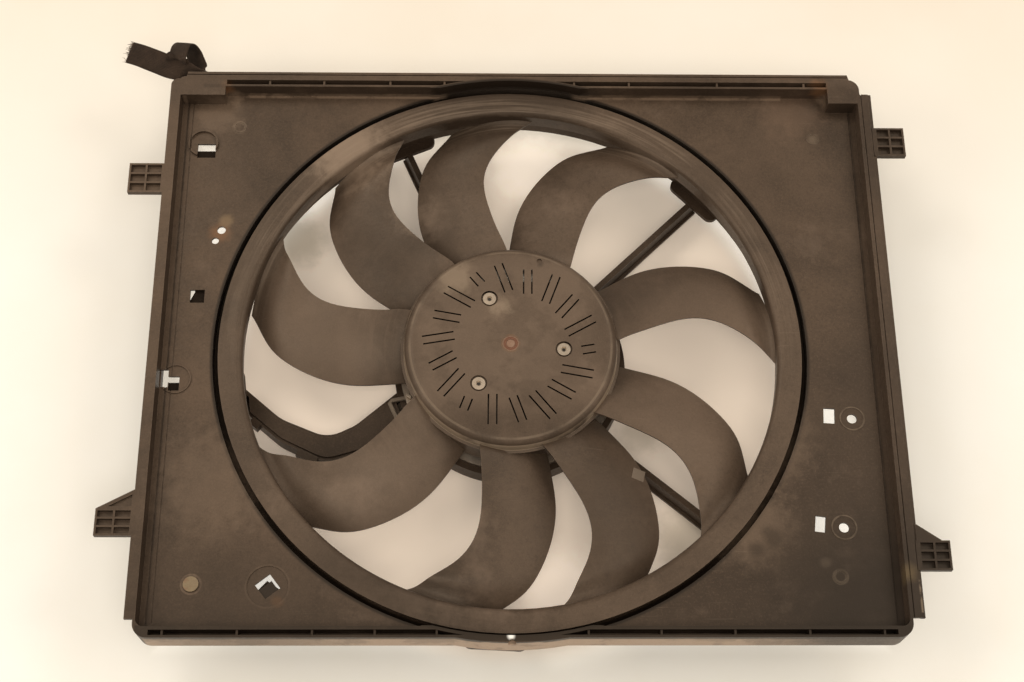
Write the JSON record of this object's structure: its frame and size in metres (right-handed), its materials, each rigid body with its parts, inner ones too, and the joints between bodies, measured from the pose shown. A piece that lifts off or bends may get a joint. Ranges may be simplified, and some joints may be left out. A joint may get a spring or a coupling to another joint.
{
  "type": "radiator fan shroud",
  "caption": "Flat rectangular fan shroud with a ring-tipped axial fan, flat outer-rotor motor on a spider carrier, ribbed side lugs and a webbing strap.",
  "frame": {"origin": "on the fan axis at the flat back face of the motor's rear cover", "axes": "+Z along the fan axis towards the radiator side, +X along the long side of the panel, +Y towards the side with the strap"},
  "size_m": [0.6731, 0.5339, 0.091],
  "materials": {
    "shroud_plastic": "moulded black plastic, faded and dusty",
    "fan_plastic": "moulded black plastic, faded and dusty",
    "zinc_steel": "dull zinc plate",
    "bare_steel": "machined steel with light rust",
    "ferrite": "sintered magnet",
    "cast_aluminium": "die-cast aluminium",
    "copper_wire": "enamelled copper",
    "board_laminate": "coated laminate",
    "seal_rubber": "moulded rubber",
    "lead_sheath": "flexible sheath",
    "plug_plastic": "tan plastic",
    "webbing": "woven webbing"
  },
  "bodies": {
    "housing": {"shroud": "shroud_plastic", "motor_carrier": "shroud_plastic", "duct_cover": "shroud_plastic", "front_bearing": "bare_steel", "rear_bearing": "bare_steel", "motor_case": "cast_aluminium", "stator_core": "bare_steel", "stator_windings": "copper_wire", "control_board": "board_laminate", "rear_cover": "cast_aluminium", "cover_seal": "seal_rubber", "cover_screws": "zinc_steel", "motor_screws": "zinc_steel", "carrier_screws": "zinc_steel", "motor_lead": "lead_sheath", "blanking_plug": "plug_plastic", "strap": "webbing"},
    "rotor": {"fan": "fan_plastic", "fan_screws": "zinc_steel", "rotor_bell": "zinc_steel", "magnet_ring": "ferrite", "motor_shaft": "bare_steel", "retaining_ring": "bare_steel", "spring_washer": "bare_steel"}
  },
  "joints": [
    {"name": "fan_spin", "type": "hinge", "parent": "housing", "child": "rotor", "pos_m": [0, 0, 0.06], "axis": [0, 0, 1], "continuous": true}
  ]
}
